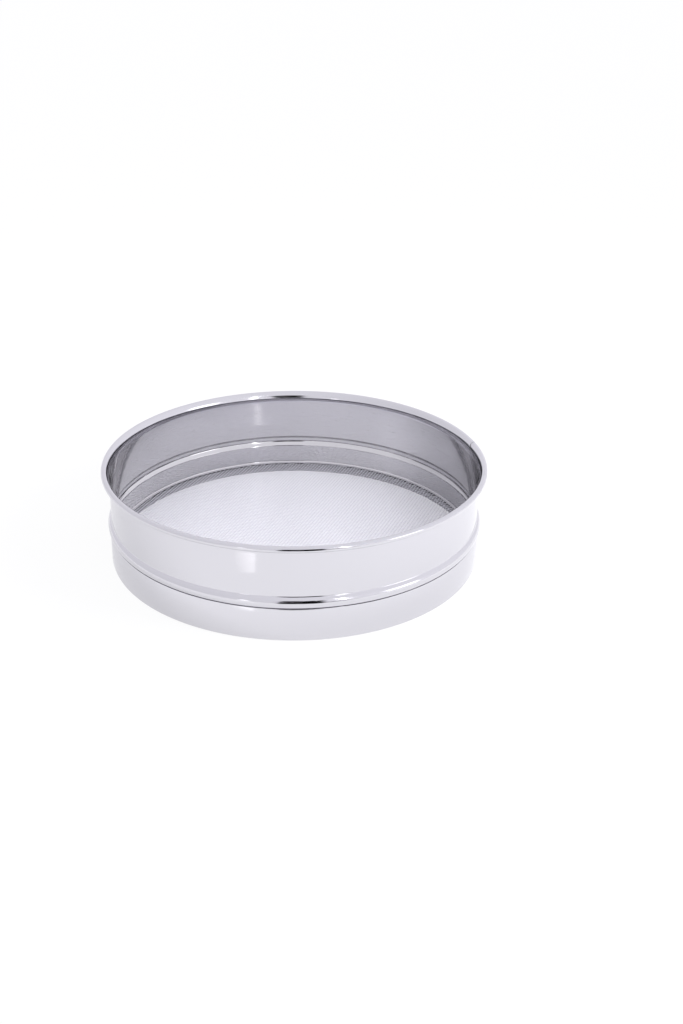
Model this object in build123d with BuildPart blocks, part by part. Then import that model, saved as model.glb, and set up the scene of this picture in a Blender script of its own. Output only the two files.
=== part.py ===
from build123d import *
from math import atan2, cos, degrees, radians, sin, sqrt
import os

# A drum sieve: a rolled sheet hoop with a wired rim, a second hoop that clamps
# the wire cloth round the outside of the first, and the cloth between them.
# The drum stands on its clamp hoop, centred on Z, with the table at z = 0.

# Both hoops
drum_d = 288.4  # outside of the straight wall
height = 76.0  # table to the top of the rim
hoop_sheet = 0.6
press_gap = 0.1  # between parts that are pressed together

# Rim, flared out and curled over a wire
rim_wire_d = 3.0
rim_wire_gap = 0.2  # round the wire, inside the curl
rim_curl_angle = 265.0  # how far the sheet wraps round the wire
rim_flare = 2.27  # from the wall out to the start of the curl
flare_foot_r = 20.0  # mid-sheet radius where the wall starts to lean out
flare_foot_lean = 12.0  # from upright, where the tighter upper bend takes over
flare_lean = 40.0  # at the start of the curl
rim_joint_gap = 0.3  # slit where the two ends of the strip meet
rim_joint_angle = 12.0  # from +X, anticlockwise seen from above; every ring closes here

# Stiffening bead, pressed outwards, which is also the stop for the clamp hoop
bead_mid_z = 29.9
bead_rise = 11.0
bead_out = 2.8
bead_root_r = 1.8  # mid-sheet radius where the bead meets the wall

# Lip at the foot of the upper hoop, which the cloth is stretched over
lip_bend_r = 2.0  # outside radius of the bend
lip_flat = 0.6  # flat of the lip inside its bend

# Wire cloth, drawn as a net of fewer and wider gaps with the weight of the real one
cloth_z = 8.0  # middle of the cloth above the table
cloth_t = 0.7  # two crossing wires
cloth_pitch = 16.0
cloth_strand_w = 1.1
cloth_turn = -17.0  # direction of the strands from +X
cloth_border = 0.6  # solid cloth that shows inside the lip
cloth_tuck = 1.2  # cloth edge below the top of the clamp hoop

# Clamp hoop
clamp_stop_gap = 0.1  # between its top edge and the flank of the bead
foot_bend_r = 1.2  # outside radius of the turned-in foot
foot_w = 2.6  # across the foot, outside to inner edge


def bend_angle(step, rise):
    """Turn of each of two equal and opposite arcs that shift a line by step over rise."""
    return 2 * degrees(atan2(step, rise))


def bend_radii_sum(step, rise):
    """Sum of the radii of those two arcs."""
    return rise / sin(radians(bend_angle(step, rise)))


# Upper hoop, along the middle of its sheet
half_sheet = hoop_sheet / 2
wall_r = drum_d / 2 - half_sheet
lip_z = cloth_z + cloth_t / 2 + press_gap + half_sheet
lip_mid_r = lip_bend_r - half_sheet
bead_half = bead_rise / 2
bead_turn = bend_angle(bead_out, bead_half)
bead_crest_r = bend_radii_sum(bead_out, bead_half) - bead_root_r
bead_centre_r = wall_r + bead_out - bead_crest_r
curl_mid_r = rim_wire_d / 2 + rim_wire_gap + half_sheet
roll_d = 2 * curl_mid_r + hoop_sheet
lean = radians(flare_lean)
foot_lean = radians(flare_foot_lean)
curl_r = wall_r + rim_flare + curl_mid_r * cos(lean)
curl_z = height - roll_d / 2
flare_head_r = (rim_flare - flare_foot_r * (1 - cos(foot_lean))) / (cos(foot_lean) - cos(lean))
flare_rise = flare_foot_r * sin(foot_lean) + flare_head_r * (sin(lean) - sin(foot_lean))
wall_top_z = curl_z + curl_mid_r * sin(lean) - flare_rise

# Cloth and clamp hoop, which follow the outside of the upper hoop
cloth_bend_r = lip_bend_r + press_gap + cloth_t / 2
cloth_collar_r = drum_d / 2 + press_gap + cloth_t / 2
clamp_mid_r = cloth_collar_r + cloth_t / 2 + press_gap + half_sheet
clamp_stop_r = bead_crest_r + half_sheet + clamp_stop_gap
clamp_reach = clamp_mid_r - half_sheet - bead_centre_r
clamp_top_z = bead_mid_z - sqrt(clamp_stop_r**2 - clamp_reach**2)
foot_mid_r = foot_bend_r - half_sheet
lip_edge_r = wall_r - lip_mid_r - lip_flat
cloth_open_r = lip_edge_r - cloth_border

# Every ring is drawn in section where the two ends of its strip or wire meet
across = Vector(1, 0, 0).rotate(Axis.Z, rim_joint_angle)
section = Plane((0, 0, 0), x_dir=across, z_dir=across.rotate(Axis.Z, -90))

with BuildPart() as upper_hoop:
    with BuildSketch(section):
        with BuildLine():
            lip = Line((lip_edge_r, lip_z), (wall_r - lip_mid_r, lip_z))
            lip_bend = JernArc(lip @ 1, lip % 1, lip_mid_r, 90)
            skirt = Line(lip_bend @ 1, (wall_r, bead_mid_z - bead_half))
            bead_foot = JernArc(skirt @ 1, skirt % 1, bead_root_r, -bead_turn)
            bead_crest = JernArc(bead_foot @ 1, bead_foot % 1, bead_crest_r, 2 * bead_turn)
            bead_head = JernArc(bead_crest @ 1, bead_crest % 1, bead_root_r, -bead_turn)
            wall = Line(bead_head @ 1, (wall_r, wall_top_z))
            flare_foot = JernArc(wall @ 1, wall % 1, flare_foot_r, -flare_foot_lean)
            flare_head = JernArc(flare_foot @ 1, flare_foot % 1, flare_head_r, flare_foot_lean - flare_lean)
            curl = JernArc(flare_head @ 1, flare_head % 1, curl_mid_r, -rim_curl_angle)
        trace(line_width=hoop_sheet)
    revolve(axis=Axis.Z)
    with BuildSketch(Plane.XY.offset(height)):
        with PolarLocations(curl_r, 1, start_angle=rim_joint_angle):
            Rectangle(roll_d, rim_joint_gap)
    extrude(amount=-roll_d, mode=Mode.SUBTRACT)
upper_hoop.part.label = "upper_hoop"

with BuildPart() as rim_wire:
    with BuildSketch(section):
        with Locations((curl_r, curl_z)):
            Circle(rim_wire_d / 2)
    revolve(axis=Axis.Z)
rim_wire.part.label = "rim_wire"

with BuildPart() as clamp_hoop:
    with BuildSketch(section):
        with BuildLine():
            foot_edge_r = clamp_mid_r + half_sheet - foot_w
            foot = Line((foot_edge_r, half_sheet), (clamp_mid_r - foot_mid_r, half_sheet))
            foot_bend = JernArc(foot @ 1, foot % 1, foot_mid_r, 90)
            Line(foot_bend @ 1, (clamp_mid_r, clamp_top_z))
        trace(line_width=hoop_sheet)
    revolve(axis=Axis.Z)
clamp_hoop.part.label = "clamp_hoop"

# The cloth lies flat under the lip and is turned up between the two hoops.
# Its strands cross on a square grid and end in a solid ring under the lip.
net_r = cloth_collar_r - cloth_bend_r
strand_count = 2 * int(cloth_open_r / cloth_pitch) + 2

with BuildPart() as sieve_mesh:
    with BuildSketch(section):
        with BuildLine():
            turn_up = JernArc((net_r, cloth_z), (1, 0), cloth_bend_r, 90)
            Line(turn_up @ 1, (cloth_collar_r, clamp_top_z - cloth_tuck))
        trace(line_width=cloth_t)
    revolve(axis=Axis.Z)
    with BuildSketch(Plane.XY.offset(cloth_z - cloth_t / 2).rotated((0, 0, cloth_turn))) as net:
        Circle(net_r)
        Circle(cloth_open_r, mode=Mode.SUBTRACT)
        with GridLocations(cloth_pitch, 0, strand_count, 1):
            Rectangle(cloth_strand_w, 2 * net_r)
        with GridLocations(0, cloth_pitch, 1, strand_count):
            Rectangle(2 * net_r, cloth_strand_w)
        Circle(net_r, mode=Mode.INTERSECT)
    extrude(amount=cloth_t)
sieve_mesh.part.label = "sieve_mesh"

os.makedirs("parts", exist_ok=True)
export_step(upper_hoop.part, "parts/upper_hoop.step")
export_step(rim_wire.part, "parts/rim_wire.step")
export_step(clamp_hoop.part, "parts/clamp_hoop.step")
export_step(sieve_mesh.part, "parts/sieve_mesh.step")

print("gaps in the net:", len(net.faces()[0].inner_wires()))
print("rim outside diameter:", round(2 * (curl_r + roll_d / 2), 2))
print("crest radius of the bead:", round(bead_crest_r, 2))
print("top of the clamp hoop:", round(clamp_top_z, 2))
print("curl centre:", round(curl_r, 2), round(curl_z, 2))
print("top of the upright wall:", round(wall_top_z, 2), "upper bend of the flare:", round(flare_head_r, 2))
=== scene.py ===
import bmesh
import bpy
from math import atan2, cos, degrees, pi, radians, sin
from mathutils import Matrix, Vector


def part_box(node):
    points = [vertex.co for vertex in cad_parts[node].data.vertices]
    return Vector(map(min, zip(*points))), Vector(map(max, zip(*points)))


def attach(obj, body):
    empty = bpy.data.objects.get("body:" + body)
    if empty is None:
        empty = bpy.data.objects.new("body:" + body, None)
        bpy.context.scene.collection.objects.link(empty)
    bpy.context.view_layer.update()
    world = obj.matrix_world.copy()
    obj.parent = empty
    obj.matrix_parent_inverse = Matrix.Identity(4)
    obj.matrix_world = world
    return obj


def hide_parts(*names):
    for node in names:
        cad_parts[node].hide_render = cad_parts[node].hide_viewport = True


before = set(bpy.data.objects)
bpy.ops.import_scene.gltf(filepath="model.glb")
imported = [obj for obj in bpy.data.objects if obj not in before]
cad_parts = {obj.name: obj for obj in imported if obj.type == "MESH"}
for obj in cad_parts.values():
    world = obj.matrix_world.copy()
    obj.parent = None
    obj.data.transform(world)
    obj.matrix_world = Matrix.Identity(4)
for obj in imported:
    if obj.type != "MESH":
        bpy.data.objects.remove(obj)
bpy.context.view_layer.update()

mm = 0.001

print("stage 1: read the sizes of the packed pieces")

hoopLow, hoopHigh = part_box("upper_hoop")
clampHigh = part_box("clamp_hoop")[1]
meshLow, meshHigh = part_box("sieve_mesh")

rimTop = hoopHigh.z
clampRadius = clampHigh.x
clampTop = clampHigh.z
clothLow = meshLow.z
clothHigh = hoopLow.z
collarTop = meshHigh.z
collarRadius = meshHigh.x

# the sheet strip of the upper hoop
hoop = {
    "sheet": 0.6 * mm,
    "wallRadius": 144.2 * mm,      # outside of the straight wall
    "rollRadius": 2.3 * mm,
    "curlAngle": 265,              # how far the sheet wraps round the wire
    "flare": 2.27 * mm,            # from the wall out to the start of the curl
    "flareFoot": 20 * mm,          # the wall leans out slowly at first, to flareFootLean
    "flareFootLean": 12,
    "flareLean": 40,               # where the curl starts
    "beadMid": 29.9 * mm,
    "beadRise": 11.0 * mm,
    "beadOut": 2.8 * mm,
    "beadRoot": 1.8 * mm,
    "lipBend": 2.0 * mm,
    "lipFlat": 0.6 * mm,
    "jointGap": 0.6 * mm,          # where the two ends of the strip meet in the roll; below it they are welded
    "jointTurn": 12,
    "spinSteps": 360,
    "edgeRound": 0.12 * mm,        # the cut edges of the sheet
}

clamp = {
    "sheet": 0.6 * mm,
    "footBend": 1.2 * mm,          # the foot is turned in, and the sieve stands on it
    "footWide": 2.6 * mm,
    "spinSteps": 360,
    "edgeRound": 0.14 * mm,
}

cloth = {
    "pitch": 2.6 * mm,             # from wire to wire, a sixth coarser than the real cloth so that the weave shows
    "weftWire": 0.42 * mm,
    "warpWire": 0.54 * mm,
    "weftTurn": -11.3,             # direction of the weft, the cloth was pulled a little out of square
    "warpTurn": 67.2,
    "edgeRadius": 142.0 * mm,      # where the wires start to turn up under the lip
    "turnStart": (0.7 * mm, 0.4 * mm),   # in from the collar and up from the cloth, where the turn begins
    "turnEnd": 1.6 * mm,           # up from the cloth, where it ends
    "wireSides": 1,                # bevel resolution, 1 gives six sides
}

finish = {
    "lineStretch": 40,             # the buffing lines are this much longer than they are high
    "lineMiddle": 0.14,            # half the spread of the noise that draws them
    "lineEdge": 0.06,              # how softly a line starts
    "dentDepth": 0.5 * mm,
    "weldFrom": 0.72,              # part of the wall's radius towards the joint, where the painted shade and the buckle begin
    "weldTo": 0.97,
    "weldDent": 0.35,
}


def newNode(tree, kind, links=None, **settings):
    # adds one node; settings are its sockets or its own properties, links go from an output to a named input
    node = tree.nodes.new(kind)
    for name, value in settings.items():
        if name in node.inputs:
            node.inputs[name].default_value = value
        else:
            setattr(node, name, value)
    for name, output in (links or {}).items():
        tree.links.new(output, node.inputs[name])
    return node


def mapRange(tree, value, source, target, **settings):
    node = newNode(tree, "ShaderNodeMapRange", {"Value": value}, **settings)
    for name, number in zip(("From Min", "From Max", "To Min", "To Max"), (*source, *target)):
        node.inputs[name].default_value = number
    return node.outputs["Result"]


def hexColour(text):
    # sRGB hex to the linear values Blender wants
    parts = [int(text[i:i + 2], 16) / 255 for i in (1, 3, 5)]
    linear = [c / 12.92 if c <= 0.04045 else ((c + 0.055) / 1.055) ** 2.4 for c in parts]
    return (*linear, 1.0)


def newMaterial(name):
    # an empty node tree
    material = bpy.data.materials.new(name)
    material.use_nodes = True
    tree = material.node_tree
    tree.nodes.clear()
    return material, tree


def mixColours(tree, share, first, second):
    node = newNode(tree, "ShaderNodeMix", {"Factor": share}, data_type="RGBA")
    node.inputs["A"].default_value = hexColour(first)
    node.inputs["B"].default_value = hexColour(second)
    return node.outputs["Result"]


def metalShader(tree, colour, links, **settings):
    # every surface of the sieve is bare steel
    shader = newNode(tree, "ShaderNodeBsdfPrincipled", links, Metallic=1.0, **settings)
    shader.inputs["Base Color"].default_value = hexColour(colour)
    newNode(tree, "ShaderNodeOutputMaterial", {"Surface": shader.outputs["BSDF"]})
    return shader


print("stage 2: materials")


def polishedSheet(name, colour, mirror, scratch, share, lineHeight, ripple, dent=0.1, paintedShadeColour=None):
    # 18/10 stainless sheet, bright annealed and buffed along its length: a mirror crossed by hair lines that run
    # round the hoop, so that each lamp is smeared into an upright streak, with the slow ripple of thin sheet.
    # with the last colour given, the sheet is painted darker round the joint, which is painted shade, and it is
    # more buckled there
    material, tree = newMaterial(name)
    place = newNode(tree, "ShaderNodeTexCoord")
    stretch = finish["lineStretch"]
    across = newNode(tree, "ShaderNodeMapping", {"Vector": place.outputs["Object"]})
    across.inputs["Scale"].default_value = (1, 1, stretch)
    lines = newNode(tree, "ShaderNodeTexNoise", {"Vector": across.outputs["Vector"]},
                    Scale=1 / (lineHeight * stretch), Detail=2.0)
    lineStart = 0.5 + finish["lineMiddle"] * (1 - 2 * share)
    rough = mapRange(tree, lines.outputs["Fac"], (lineStart, lineStart + finish["lineEdge"]), (mirror, scratch))
    swell = newNode(tree, "ShaderNodeTexNoise", {"Vector": place.outputs["Object"]},
                    Scale=1 / ripple, Detail=1.0)
    bump = newNode(tree, "ShaderNodeBump", {"Height": swell.outputs["Fac"]},
                   Strength=dent, Distance=finish["dentDepth"])
    tangent = newNode(tree, "ShaderNodeTangent", direction_type="RADIAL", axis="Z")
    shader = metalShader(tree, colour, {"Roughness": rough, "Normal": bump.outputs["Normal"],
                                        "Tangent": tangent.outputs["Tangent"]}, Anisotropic=1.0)
    if paintedShadeColour:
        turn = radians(hoop["jointTurn"])
        near = newNode(tree, "ShaderNodeVectorMath", {0: place.outputs["Object"]}, operation="DOT_PRODUCT")
        near.inputs[1].default_value = (cos(turn), sin(turn), 0)
        reach = [hoop["wallRadius"] * finish[end] for end in ("weldFrom", "weldTo")]
        nearJoint = mapRange(tree, near.outputs["Value"], reach, (0, 1), interpolation_type="SMOOTHSTEP")
        # painted shade: the colour goes darker towards the joint
        tree.links.new(mixColours(tree, nearJoint, colour, paintedShadeColour), shader.inputs["Base Color"])
        buckle = mapRange(tree, nearJoint, (0, 1), (dent, finish["weldDent"]))
        tree.links.new(buckle, bump.inputs["Strength"])
    return material


def millSheetPaintedShade(name, colour, paintedLitFootColour, roughness, grain, paintedLitFootTop):
    # the same sheet as it left the mill, dull, on the side that nobody sees. Its dark colour is painted shade, and
    # it is painted lighter towards the foot as painted light
    material, tree = newMaterial(name)
    place = newNode(tree, "ShaderNodeTexCoord")
    skin = newNode(tree, "ShaderNodeTexNoise", {"Vector": place.outputs["Object"]},
                   Scale=1 / grain, Detail=4.0)
    rough = mapRange(tree, skin.outputs["Fac"], (0, 1), (roughness * 0.8, roughness * 1.2))
    height = newNode(tree, "ShaderNodeSeparateXYZ", {"Vector": place.outputs["Object"]})
    # painted light and shade: lighter at the foot, darker towards the top
    level = mapRange(tree, height.outputs["Z"], (0, paintedLitFootTop), (0, 1))
    shader = metalShader(tree, colour, {"Roughness": rough})
    tree.links.new(mixColours(tree, level, paintedLitFootColour, colour), shader.inputs["Base Color"])
    return material


def drawnWire(name, colour, roughness, grain):
    # bright drawn stainless wire: round and shiny, with fine draw marks that soften what it mirrors
    material, tree = newMaterial(name)
    place = newNode(tree, "ShaderNodeTexCoord")
    marks = newNode(tree, "ShaderNodeTexNoise", {"Vector": place.outputs["Object"]},
                    Scale=1 / grain, Detail=2.0)
    rough = mapRange(tree, marks.outputs["Fac"], (0, 1), (roughness * 0.7, roughness * 1.3))
    metalShader(tree, colour, {"Roughness": rough})
    return material


# colour, roughness of the mirror and of the lines, share of lines, height of a line, length of a ripple
hoopSteel = polishedSheet("polished stainless sheet", "#D3D2D6", 0.07, 0.2, 0.1, 0.3 * mm, 35 * mm)
# the inside of the hoop, painted darker round the joint as painted shade
hoopInside = polishedSheet("buffed inside of the sheet", "#CFCED0", 0.045, 0.30, 0.08, 0.3 * mm, 35 * mm,
                           dent=0.03, paintedShadeColour="#B4B3B6")
clampSteel = polishedSheet("polished stainless clamp", "#D4D3D7", 0.08, 0.2, 0.15, 0.3 * mm, 30 * mm)
# inside of the clamp hoop: dull mill finish, near black as painted shade under the lip and the cloth, painted
# lighter at the foot
clampInsidePaintedShade = millSheetPaintedShade("dull mill sheet with painted shade", "#161519", "#7E7D82", 0.35, 2 * mm, 7 * mm)
clothSteel = drawnWire("woven stainless wire", "#E9E8EF", 0.3, 0.5 * mm)
# the rim wire is painted dark as painted shade inside the roll, where it shows through the slit
rimWirePaintedShade = drawnWire("rim wire painted dark as shade", "#8B8A90", 0.25, 1.0 * mm)


print("stage 3: the two hoops")


def startStrip(x, z):
    # the mid line of a sheet strip, seen in section, is walked from one edge to the other
    strip = bmesh.new()
    tip = strip.verts.new((x, 0, z))
    return strip, tip


def goStraight(strip, tip, step):
    new = bmesh.ops.extrude_vert_indiv(strip, verts=[tip])["verts"][0]
    bmesh.ops.translate(strip, verts=[new], vec=step)
    return new


def goRound(strip, tip, heading, radius, turn, steps):
    # turns left for a positive angle, right for a negative one
    side = 1 if turn > 0 else -1
    left = Vector((-heading.z, 0, heading.x))
    centre = tip.co + left * radius * side
    spun = bmesh.ops.spin(strip, geom=[tip], cent=centre, axis=(0, -1, 0), angle=radians(turn), steps=steps)
    new = [v for v in spun["geom_last"] if isinstance(v, bmesh.types.BMVert)][0]
    turned = Matrix.Rotation(radians(turn), 3, (0, -1, 0)) @ heading
    return new, turned


def shiftArcs(step, rise):
    # two equal and opposite arcs that shift the line by step over rise: their turn, and the sum of their radii
    turn = 2 * atan2(step, rise)
    return degrees(turn), rise / sin(turn)


def spinHoop(strip, steps, name):
    # the strip's line goes once round the drum
    bmesh.ops.spin(strip, geom=strip.verts[:] + strip.edges[:], cent=(0, 0, 0), axis=(0, 0, 1),
                   angle=2 * pi, steps=steps, use_merge=True)
    bmesh.ops.remove_doubles(strip, verts=strip.verts[:], dist=0.001 * mm)
    bmesh.ops.recalc_face_normals(strip, faces=strip.faces[:])
    mesh = bpy.data.meshes.new(name)
    strip.to_mesh(mesh)
    strip.free()
    piece = bpy.data.objects.new(name, mesh)
    bpy.context.scene.collection.objects.link(piece)
    return piece


def openJoint(piece, turn, gap, low):
    # leaves a slit through the ring of faces above low, and nothing anywhere else
    sheet = bmesh.new()
    sheet.from_mesh(piece.data)
    out = Vector((cos(radians(turn)), sin(radians(turn)), 0))
    side = Vector((-out.y, out.x, 0))

    def atJoint(reach):
        middles = [(face, face.calc_center_median()) for face in sheet.faces]
        return [face for face, m in middles if m.dot(out) > 0 and abs(m.dot(side)) < reach and m.z > low]

    for shift in (-gap / 2, gap / 2):
        faces = atJoint(8 * mm)
        edges = list({edge for face in faces for edge in face.edges})
        corners = list({corner for face in faces for corner in face.verts})
        bmesh.ops.bisect_plane(sheet, geom=corners + edges + faces, dist=0.001 * mm, plane_co=side * shift,
                               plane_no=side)
    bmesh.ops.delete(sheet, geom=atJoint(gap / 2), context="FACES")
    sheet.to_mesh(piece.data)
    sheet.free()


def bakeModifiers(piece):
    bpy.context.view_layer.update()
    seen = piece.evaluated_get(bpy.context.evaluated_depsgraph_get())
    done = bpy.data.meshes.new_from_object(seen)
    piece.modifiers.clear()
    piece.data = done


def finishHoop(piece, sheet, edgeRound, material):
    # the sheet gets its thickness and its cut edges are eased
    wall = piece.modifiers.new("sheet", "SOLIDIFY")
    wall.thickness = sheet
    wall.offset = 0
    wall.use_even_offset = True
    ease = piece.modifiers.new("eased edges", "BEVEL")
    ease.width = edgeRound
    ease.segments = 2
    ease.limit_method = "ANGLE"
    ease.angle_limit = radians(50)
    bakeModifiers(piece)
    piece.data.shade_smooth()
    piece.data.materials.clear()
    piece.data.materials.append(material)
    return piece


def coatInside(piece, material, radius, top):
    # faces of the wall that look at the middle of the drum
    piece.data.materials.append(material)
    for face in piece.data.polygons:
        middle = Vector((face.center.x, face.center.y, 0))
        if middle.length < radius and face.center.z < top and face.normal.dot(middle.normalized()) < -0.3:
            face.material_index = 1


def makeUpperHoop():
    h = hoop
    half = h["sheet"] / 2
    wall = h["wallRadius"] - half
    lipMid = h["lipBend"] - half
    lipZ = clothHigh + half
    curlMid = h["rollRadius"] - half
    lean = radians(h["flareLean"])
    footLean = radians(h["flareFootLean"])
    flareHead = (h["flare"] - h["flareFoot"] * (1 - cos(footLean))) / (cos(footLean) - cos(lean))
    flareRise = h["flareFoot"] * sin(footLean) + flareHead * (sin(lean) - sin(footLean))
    wallTop = rimTop - h["rollRadius"] + curlMid * sin(lean) - flareRise
    beadTurn, beadSum = shiftArcs(h["beadOut"], h["beadRise"] / 2)
    strip, tip = startStrip(wall - lipMid - h["lipFlat"], lipZ)
    tip = goStraight(strip, tip, (h["lipFlat"], 0, 0))
    heading = Vector((1, 0, 0))
    tip, heading = goRound(strip, tip, heading, lipMid, 90, 10)
    tip = goStraight(strip, tip, (0, 0, h["beadMid"] - h["beadRise"] / 2 - tip.co.z))
    tip, heading = goRound(strip, tip, heading, h["beadRoot"], -beadTurn, 7)
    tip, heading = goRound(strip, tip, heading, beadSum - h["beadRoot"], 2 * beadTurn, 18)
    tip, heading = goRound(strip, tip, heading, h["beadRoot"], -beadTurn, 7)
    tip = goStraight(strip, tip, (0, 0, wallTop - tip.co.z))
    tip, heading = goRound(strip, tip, heading, h["flareFoot"], -h["flareFootLean"], 6)
    tip, heading = goRound(strip, tip, heading, flareHead, h["flareFootLean"] - h["flareLean"], 8)
    tip, heading = goRound(strip, tip, heading, curlMid, -h["curlAngle"], 34)
    piece = spinHoop(strip, h["spinSteps"], "upperHoop")
    openJoint(piece, h["jointTurn"], h["jointGap"], rimTop - 2 * h["rollRadius"])
    finishHoop(piece, h["sheet"], h["edgeRound"], hoopSteel)
    coatInside(piece, hoopInside, h["wallRadius"] + h["beadOut"], wallTop)
    return piece


def makeClampHoop():
    c = clamp
    half = c["sheet"] / 2
    wall = clampRadius - half
    footMid = c["footBend"] - half
    strip, tip = startStrip(clampRadius - c["footWide"], half)
    tip = goStraight(strip, tip, (wall - footMid - tip.co.x, 0, 0))
    tip, heading = goRound(strip, tip, Vector((1, 0, 0)), footMid, 90, 8)
    tip = goStraight(strip, tip, (0, 0, clampTop - tip.co.z))
    piece = spinHoop(strip, c["spinSteps"], "clampHoop")
    finishHoop(piece, c["sheet"], c["edgeRound"], clampSteel)
    coatInside(piece, clampInsidePaintedShade, wall, clampTop)
    return piece


upperHoop = makeUpperHoop()
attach(upperHoop, "root")
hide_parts("upper_hoop")

clampHoop = makeClampHoop()
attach(clampHoop, "root")
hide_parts("clamp_hoop")
print("hoop faces", len(upperHoop.data.polygons), "clamp faces", len(clampHoop.data.polygons))


print("stage 4: the woven wire cloth")


def latticeSteps(direction, other, pitch):
    # step along one wire from crossing to crossing, in a cloth whose two wire directions aren't square
    angle = radians(abs(direction - other))
    length = pitch / sin(angle)
    return Vector((cos(radians(direction)), sin(radians(direction)), 0)) * length


def makeWires(name, wire, direction, other, parity):
    # one family of parallel wires, each over and under the wires of the other family by turns,
    # whose ends turn up between the two hoops
    c = cloth
    along = latticeSteps(direction, other, c["pitch"])
    across = latticeSteps(other, direction, c["pitch"])
    reach = c["edgeRadius"]
    count = int(reach / c["pitch"] / sin(radians(abs(direction - other)))) + 2
    middle = (clothLow + clothHigh) / 2
    lift = (c["weftWire"] + c["warpWire"]) / 4
    turnRadius = collarRadius - wire / 2
    curve = bpy.data.curves.new(name, "CURVE")
    curve.dimensions = "3D"
    curve.bevel_depth = wire / 2
    curve.bevel_resolution = c["wireSides"]
    curve.use_fill_caps = True
    for row in range(-count, count + 1):
        start = across * row
        points = []
        for step in range(-2 * count, 2 * count + 1):
            spot = start + along * step
            if spot.length > reach:
                continue
            side = 1 if (row + step) % 2 == parity else -1
            points.append((spot.x, spot.y, middle + lift * side))
        if len(points) < 3:
            continue
        for end, place in ((0, 0), (1, -1)):
            tip = Vector(points[place])
            outward = Vector((tip.x, tip.y, 0)).normalized()
            rise = [outward * (turnRadius - c["turnStart"][0]) + Vector((0, 0, middle + c["turnStart"][1])),
                    outward * turnRadius + Vector((0, 0, middle + c["turnEnd"])),
                    outward * turnRadius + Vector((0, 0, collarTop - wire))]
            points = points + [tuple(p) for p in rise] if end else [tuple(p) for p in reversed(rise)] + points
        spline = curve.splines.new("POLY")
        spline.points.add(len(points) - 1)
        for point, spot in zip(spline.points, points):
            point.co = (*spot, 1)
    drawn = bpy.data.objects.new(name + "Curve", curve)
    bpy.context.scene.collection.objects.link(drawn)
    bpy.context.view_layer.update()
    mesh = bpy.data.meshes.new_from_object(drawn.evaluated_get(bpy.context.evaluated_depsgraph_get()))
    mesh.name = name
    bpy.data.objects.remove(drawn)
    piece = bpy.data.objects.new(name, mesh)
    bpy.context.scene.collection.objects.link(piece)
    mesh.shade_smooth()
    mesh.materials.clear()
    mesh.materials.append(clothSteel)
    return piece


weftWires = makeWires("weftWires", cloth["weftWire"], cloth["weftTurn"], cloth["warpTurn"], 0)
warpWires = makeWires("warpWires", cloth["warpWire"], cloth["warpTurn"], cloth["weftTurn"], 1)
for piece in (weftWires, warpWires):
    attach(piece, "root")
    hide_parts("sieve_mesh")
    print(piece.name, "faces", len(piece.data.polygons))

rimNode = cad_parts["rim_wire"]
rimNode.data.materials.clear()
rimNode.data.materials.append(rimWirePaintedShade)


print("stage 5: floor, light and camera")

studio = {
    "floorSize": 40.0,
    "floorColour": "#FBFBFF",
    "worldColour": "#F9F8FF",
    "cardColour": "#FDFCFF",
    "worldLeft": 0.94,             # the studio is darker to the left of the camera
    "worldRight": 1.16,
    "seenBleach": 0.92,            # the camera sees the paper blown out to white, with a little of the shadow left
    "underBleach": 0.3,            # less so under the cloth
    "mirrorBleach": 0.65,          # and in the steel
    "underMirrorBleach": 0.32,
    "underFrom": 4 * mm,           # the change from one to the other, in from the clamp hoop
    "underTo": 2 * mm,
}

# azimuth 0 is behind the camera, positive to its right, and distance is from the middle of the sieve.
# the first three only light the steel, the last only the paper
lamps = (
    {"name": "strip lamp", "azimuth": 27, "elevation": 22, "distance": 1.6, "wide": 0.07, "tall": 0.9,
     "power": 0.9, "onPaper": False},
    {"name": "left strip lamp", "azimuth": -27, "elevation": 3, "distance": 1.6, "wide": 0.09, "tall": 0.3,
     "power": 0.14, "onPaper": False},
    {"name": "low softbox", "azimuth": 62, "elevation": 12, "distance": 2.0, "wide": 0.7, "tall": 0.6,
     "power": 1.9, "onPaper": False},
    {"name": "paper lamp", "azimuth": 68, "elevation": 35, "distance": 0.65, "wide": 0.4, "tall": 0.4,
     "power": 4.6, "onSteel": False},
)

# corners in metres; the black ones give the rim and the bead their dark line at the front, the white one the soft
# patch on the wall, and the slit under the cloth the streak up the back of the wall
cards = (
    {"name": "black card", "corners": ((-0.038, -0.30, 0.001), (0.064, -0.30, 0.001),
                                       (0.33, -1.15, 0.70), (-0.13, -1.15, 0.70))},
    {"name": "low black card", "corners": ((0.09, -0.50, 0.001), (0.25, -0.50, 0.001),
                                           (0.75, -1.15, 0.03), (0.26, -1.15, 0.03))},
    {"name": "white card", "corners": ((-0.096, -0.215, 0.002), (-0.066, -0.229, 0.002),
                                       (-0.083, -0.277, 0.002), (-0.123, -0.260, 0.002)),
     "glow": 1.56, "fadeAlong": (17.8, -23.9, 0), "fade": (3.52, 4.55)},
    {"name": "light slit", "corners": ((0.0079, 0.0488, 0.001), (0.0092, 0.0494, 0.001),
                                       (0.0433, -0.0207, 0.001), (0.0378, -0.0232, 0.001)),
     "glow": 2.1},
)

view = {
    "distance": 0.975,             # 6.5 rim radii, from the spread of the ellipses in the photograph
    "target": 37.5 * mm,
    "elevation": 25.94,
    "roll": -0.18,
    "lens": 43.07,
    "shiftX": 0.0462,
    "shiftY": -0.0094,
}


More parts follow.
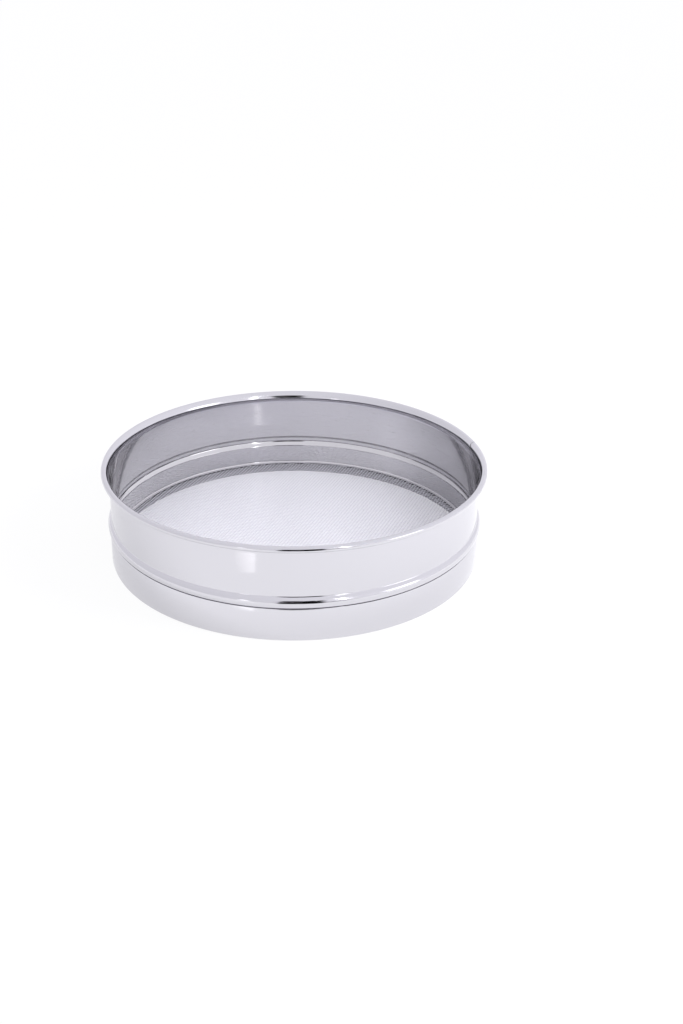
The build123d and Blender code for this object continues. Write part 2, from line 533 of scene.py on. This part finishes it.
def makeFloor():
    floorMesh = bpy.data.meshes.new("floor")
    sheet = bmesh.new()
    bmesh.ops.create_grid(sheet, x_segments=1, y_segments=1, size=studio["floorSize"])
    sheet.to_mesh(floorMesh)
    sheet.free()
    floor = bpy.data.objects.new("floor", floorMesh)
    bpy.context.scene.collection.objects.link(floor)
    material, tree = newMaterial("white paper sweep")
    paper = newNode(tree, "ShaderNodeBsdfDiffuse", Roughness=0.5)
    paper.inputs["Color"].default_value = hexColour(studio["floorColour"])
    bleach = newNode(tree, "ShaderNodeEmission", Strength=1.0)
    path = newNode(tree, "ShaderNodeLightPath")
    place = newNode(tree, "ShaderNodeTexCoord")
    away = newNode(tree, "ShaderNodeVectorMath", {0: place.outputs["Object"]}, operation="LENGTH")
    edge = (clampRadius - studio["underFrom"], clampRadius - studio["underTo"])
    shares = []
    for ray, under, outside in (("Is Camera Ray", "underBleach", "seenBleach"),
                                ("Is Glossy Ray", "underMirrorBleach", "mirrorBleach")):
        level = mapRange(tree, away.outputs["Value"], edge, (studio[under], studio[outside]))
        shares.append(newNode(tree, "ShaderNodeMath", {0: path.outputs[ray], 1: level},
                              operation="MULTIPLY"))
    share = newNode(tree, "ShaderNodeMath", {0: shares[0].outputs["Value"], 1: shares[1].outputs["Value"]},
                    operation="ADD")
    seen = newNode(tree, "ShaderNodeMixShader", {"Fac": share.outputs["Value"], 1: paper.outputs["BSDF"],
                                                 2: bleach.outputs["Emission"]})
    newNode(tree, "ShaderNodeOutputMaterial", {"Surface": seen.outputs["Shader"]})
    floorMesh.materials.append(material)


def makeWorld():
    world = bpy.data.worlds.new("white studio")
    bpy.context.scene.world = world
    world.use_nodes = True
    tree = world.node_tree
    tree.nodes.clear()
    path = newNode(tree, "ShaderNodeLightPath")
    place = newNode(tree, "ShaderNodeTexCoord")
    turn = newNode(tree, "ShaderNodeSeparateXYZ", {"Vector": place.outputs["Generated"]})
    level = mapRange(tree, turn.outputs["X"], (-1, 1), (studio["worldLeft"], studio["worldRight"]))
    soft = newNode(tree, "ShaderNodeBackground", {"Strength": level})
    soft.inputs["Color"].default_value = hexColour(studio["worldColour"])
    plain = newNode(tree, "ShaderNodeBackground", Strength=1.0)
    plain.inputs["Color"].default_value = hexColour("#FFFFFF")
    seen = newNode(tree, "ShaderNodeMixShader", {"Fac": path.outputs["Is Camera Ray"],
                                                 1: soft.outputs["Background"], 2: plain.outputs["Background"]})
    newNode(tree, "ShaderNodeOutputWorld", {"Surface": seen.outputs["Shader"]})


def makeLight(name, azimuth, elevation, distance, wide, tall, power, onPaper=True, onSteel=True):
    # an area lamp that looks at the sieve, and that the paper or the steel may not see
    lamp = bpy.data.lights.new(name, "AREA")
    lamp.shape = "RECTANGLE"
    lamp.size = wide
    lamp.size_y = tall
    lamp.energy = power
    spot = bpy.data.objects.new(name, lamp)
    bpy.context.scene.collection.objects.link(spot)
    a, e = radians(azimuth), radians(elevation)
    away = Vector((sin(a) * cos(e), -cos(a) * cos(e), sin(e)))
    spot.location = away * distance + Vector((0, 0, view["target"]))
    spot.rotation_euler = away.to_track_quat("Z", "Y").to_euler()
    spot.visible_diffuse = onPaper
    spot.visible_glossy = onSteel


def makeCard(name, corners, glow=0, fadeAlong=(0, 0, 0), fade=(-1, 0)):
    # a black or glowing card that only the steel sees, which can thin out towards one corner
    cardMesh = bpy.data.meshes.new(name)
    sheet = bmesh.new()
    sheet.faces.new([sheet.verts.new(corner) for corner in corners])
    sheet.to_mesh(cardMesh)
    sheet.free()
    card = bpy.data.objects.new(name, cardMesh)
    bpy.context.scene.collection.objects.link(card)
    material, tree = newMaterial(name)
    shader = newNode(tree, "ShaderNodeEmission", Strength=glow, Color=hexColour(studio["cardColour"]))
    place = newNode(tree, "ShaderNodeTexCoord")
    along = newNode(tree, "ShaderNodeVectorMath", {0: place.outputs["Object"]}, operation="DOT_PRODUCT")
    along.inputs[1].default_value = fadeAlong
    solid = mapRange(tree, along.outputs["Value"], fade, (0, 1))
    clear = newNode(tree, "ShaderNodeBsdfTransparent")
    thinned = newNode(tree, "ShaderNodeMixShader", {"Fac": solid, 1: clear.outputs["BSDF"],
                                                    2: shader.outputs["Emission"]})
    newNode(tree, "ShaderNodeOutputMaterial", {"Surface": thinned.outputs["Shader"]})
    cardMesh.materials.append(material)
    card.visible_camera = False
    card.visible_diffuse = False
    card.visible_shadow = False


def makeCamera():
    lens = bpy.data.cameras.new("camera")
    lens.lens = view["lens"]
    lens.sensor_width = 36
    lens.shift_x = view["shiftX"]
    lens.shift_y = view["shiftY"]
    lens.clip_start = 0.01
    camera = bpy.data.objects.new("camera", lens)
    bpy.context.scene.collection.objects.link(camera)
    e = radians(view["elevation"])
    camera.location = (0, -view["distance"] * cos(e), view["target"] + view["distance"] * sin(e))
    camera.rotation_euler = (pi / 2 - e, 0, 0)
    camera.rotation_euler = (camera.rotation_euler.to_matrix() @
                             Matrix.Rotation(radians(view["roll"]), 3, "Z")).to_euler()
    bpy.context.scene.camera = camera


makeFloor()
makeWorld()
for lamp in lamps:
    makeLight(**lamp)
for card in cards:
    makeCard(**card)
makeCamera()
bpy.context.scene.view_settings.view_transform = "Standard"
